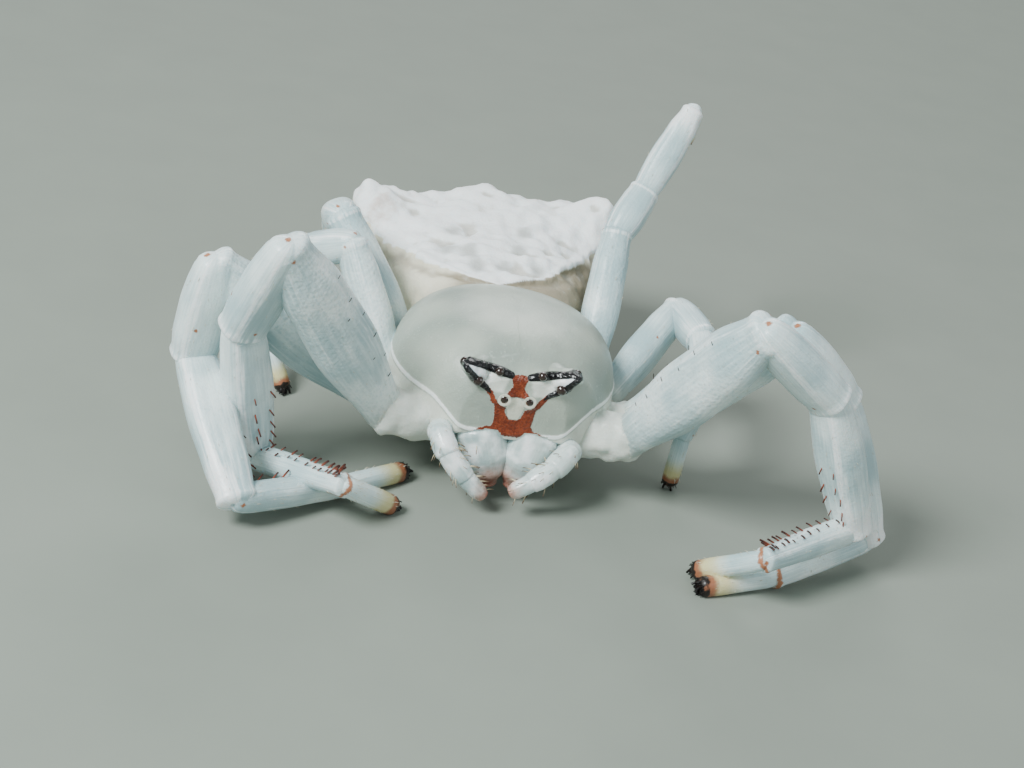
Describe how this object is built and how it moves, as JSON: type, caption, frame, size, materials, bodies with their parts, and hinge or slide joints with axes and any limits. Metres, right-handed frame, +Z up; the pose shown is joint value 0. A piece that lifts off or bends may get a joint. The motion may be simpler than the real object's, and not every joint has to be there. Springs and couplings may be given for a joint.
{
  "type": "life-size model of a white crab spider",
  "caption": "Female crab spider standing still, front legs held wide, broad wedge-shaped abdomen, pointed horns beside a marked face.",
  "frame": {"origin": "on the floor plane under the middle of the model's bounding box", "axes": "+Z up from the floor, the spider looks along -Y, her left side is +X"},
  "size_m": [0.0106, 0.0092, 0.0049],
  "materials": {
    "limb": "waxy, slightly see-through skin with fine hairs",
    "foot": "waxy skin, pale yellow towards a dark reddish-brown tip",
    "shell": "waxy grey-white shell with brick-red and black face marks",
    "belly": "dull wrinkled cream-white skin",
    "jaw": "waxy greenish-white shell",
    "eye": "glassy, very dark brown"
  },
  "bodies": {
    "root": {"eye_anterior_median_left": "eye", "eye_posterior_median_left": "eye", "eye_anterior_lateral_left": "eye", "eye_posterior_lateral_left": "eye", "eye_anterior_median_right": "eye", "eye_posterior_median_right": "eye", "eye_anterior_lateral_right": "eye", "eye_posterior_lateral_right": "eye", "chelicera_left": "jaw", "chelicera_right": "jaw", "palp_left": "jaw", "palp_right": "jaw", "carapace": "shell", "underside_with_coxae": "shell", "abdomen": "belly", "spinnerets": "belly", "leg_1_left_femur": "limb", "leg_1_left_patella": "limb", "leg_1_left_tibia": "limb", "leg_1_left_metatarsus": "limb", "leg_1_left_tarsus": "foot", "leg_1_right_femur": "limb", "leg_1_right_patella": "limb", "leg_1_right_tibia": "limb", "leg_1_right_metatarsus": "limb", "leg_1_right_tarsus": "foot", "leg_2_left_femur": "limb", "leg_2_left_patella": "limb", "leg_2_left_tibia": "limb", "leg_2_left_metatarsus": "limb", "leg_2_left_tarsus": "foot", "leg_2_right_femur": "limb", "leg_2_right_patella": "limb", "leg_2_right_tibia": "limb", "leg_2_right_metatarsus": "limb", "leg_2_right_tarsus": "foot", "leg_3_left_femur": "limb", "leg_3_left_patella": "limb", "leg_3_left_tibia": "limb", "leg_3_left_metatarsus": "limb", "leg_3_left_tarsus": "foot", "leg_3_right_femur": "limb", "leg_3_right_patella": "limb", "leg_3_right_tibia": "limb", "leg_3_right_metatarsus": "limb", "leg_3_right_tarsus": "foot", "leg_4_left_femur": "limb", "leg_4_left_patella": "limb", "leg_4_left_tibia": "limb", "leg_4_left_metatarsus": "limb", "leg_4_left_tarsus": "foot", "leg_4_right_femur": "limb", "leg_4_right_patella": "limb", "leg_4_right_tibia": "limb", "leg_4_right_metatarsus": "limb", "leg_4_right_tarsus": "foot"}
  },
  "joints": []
}
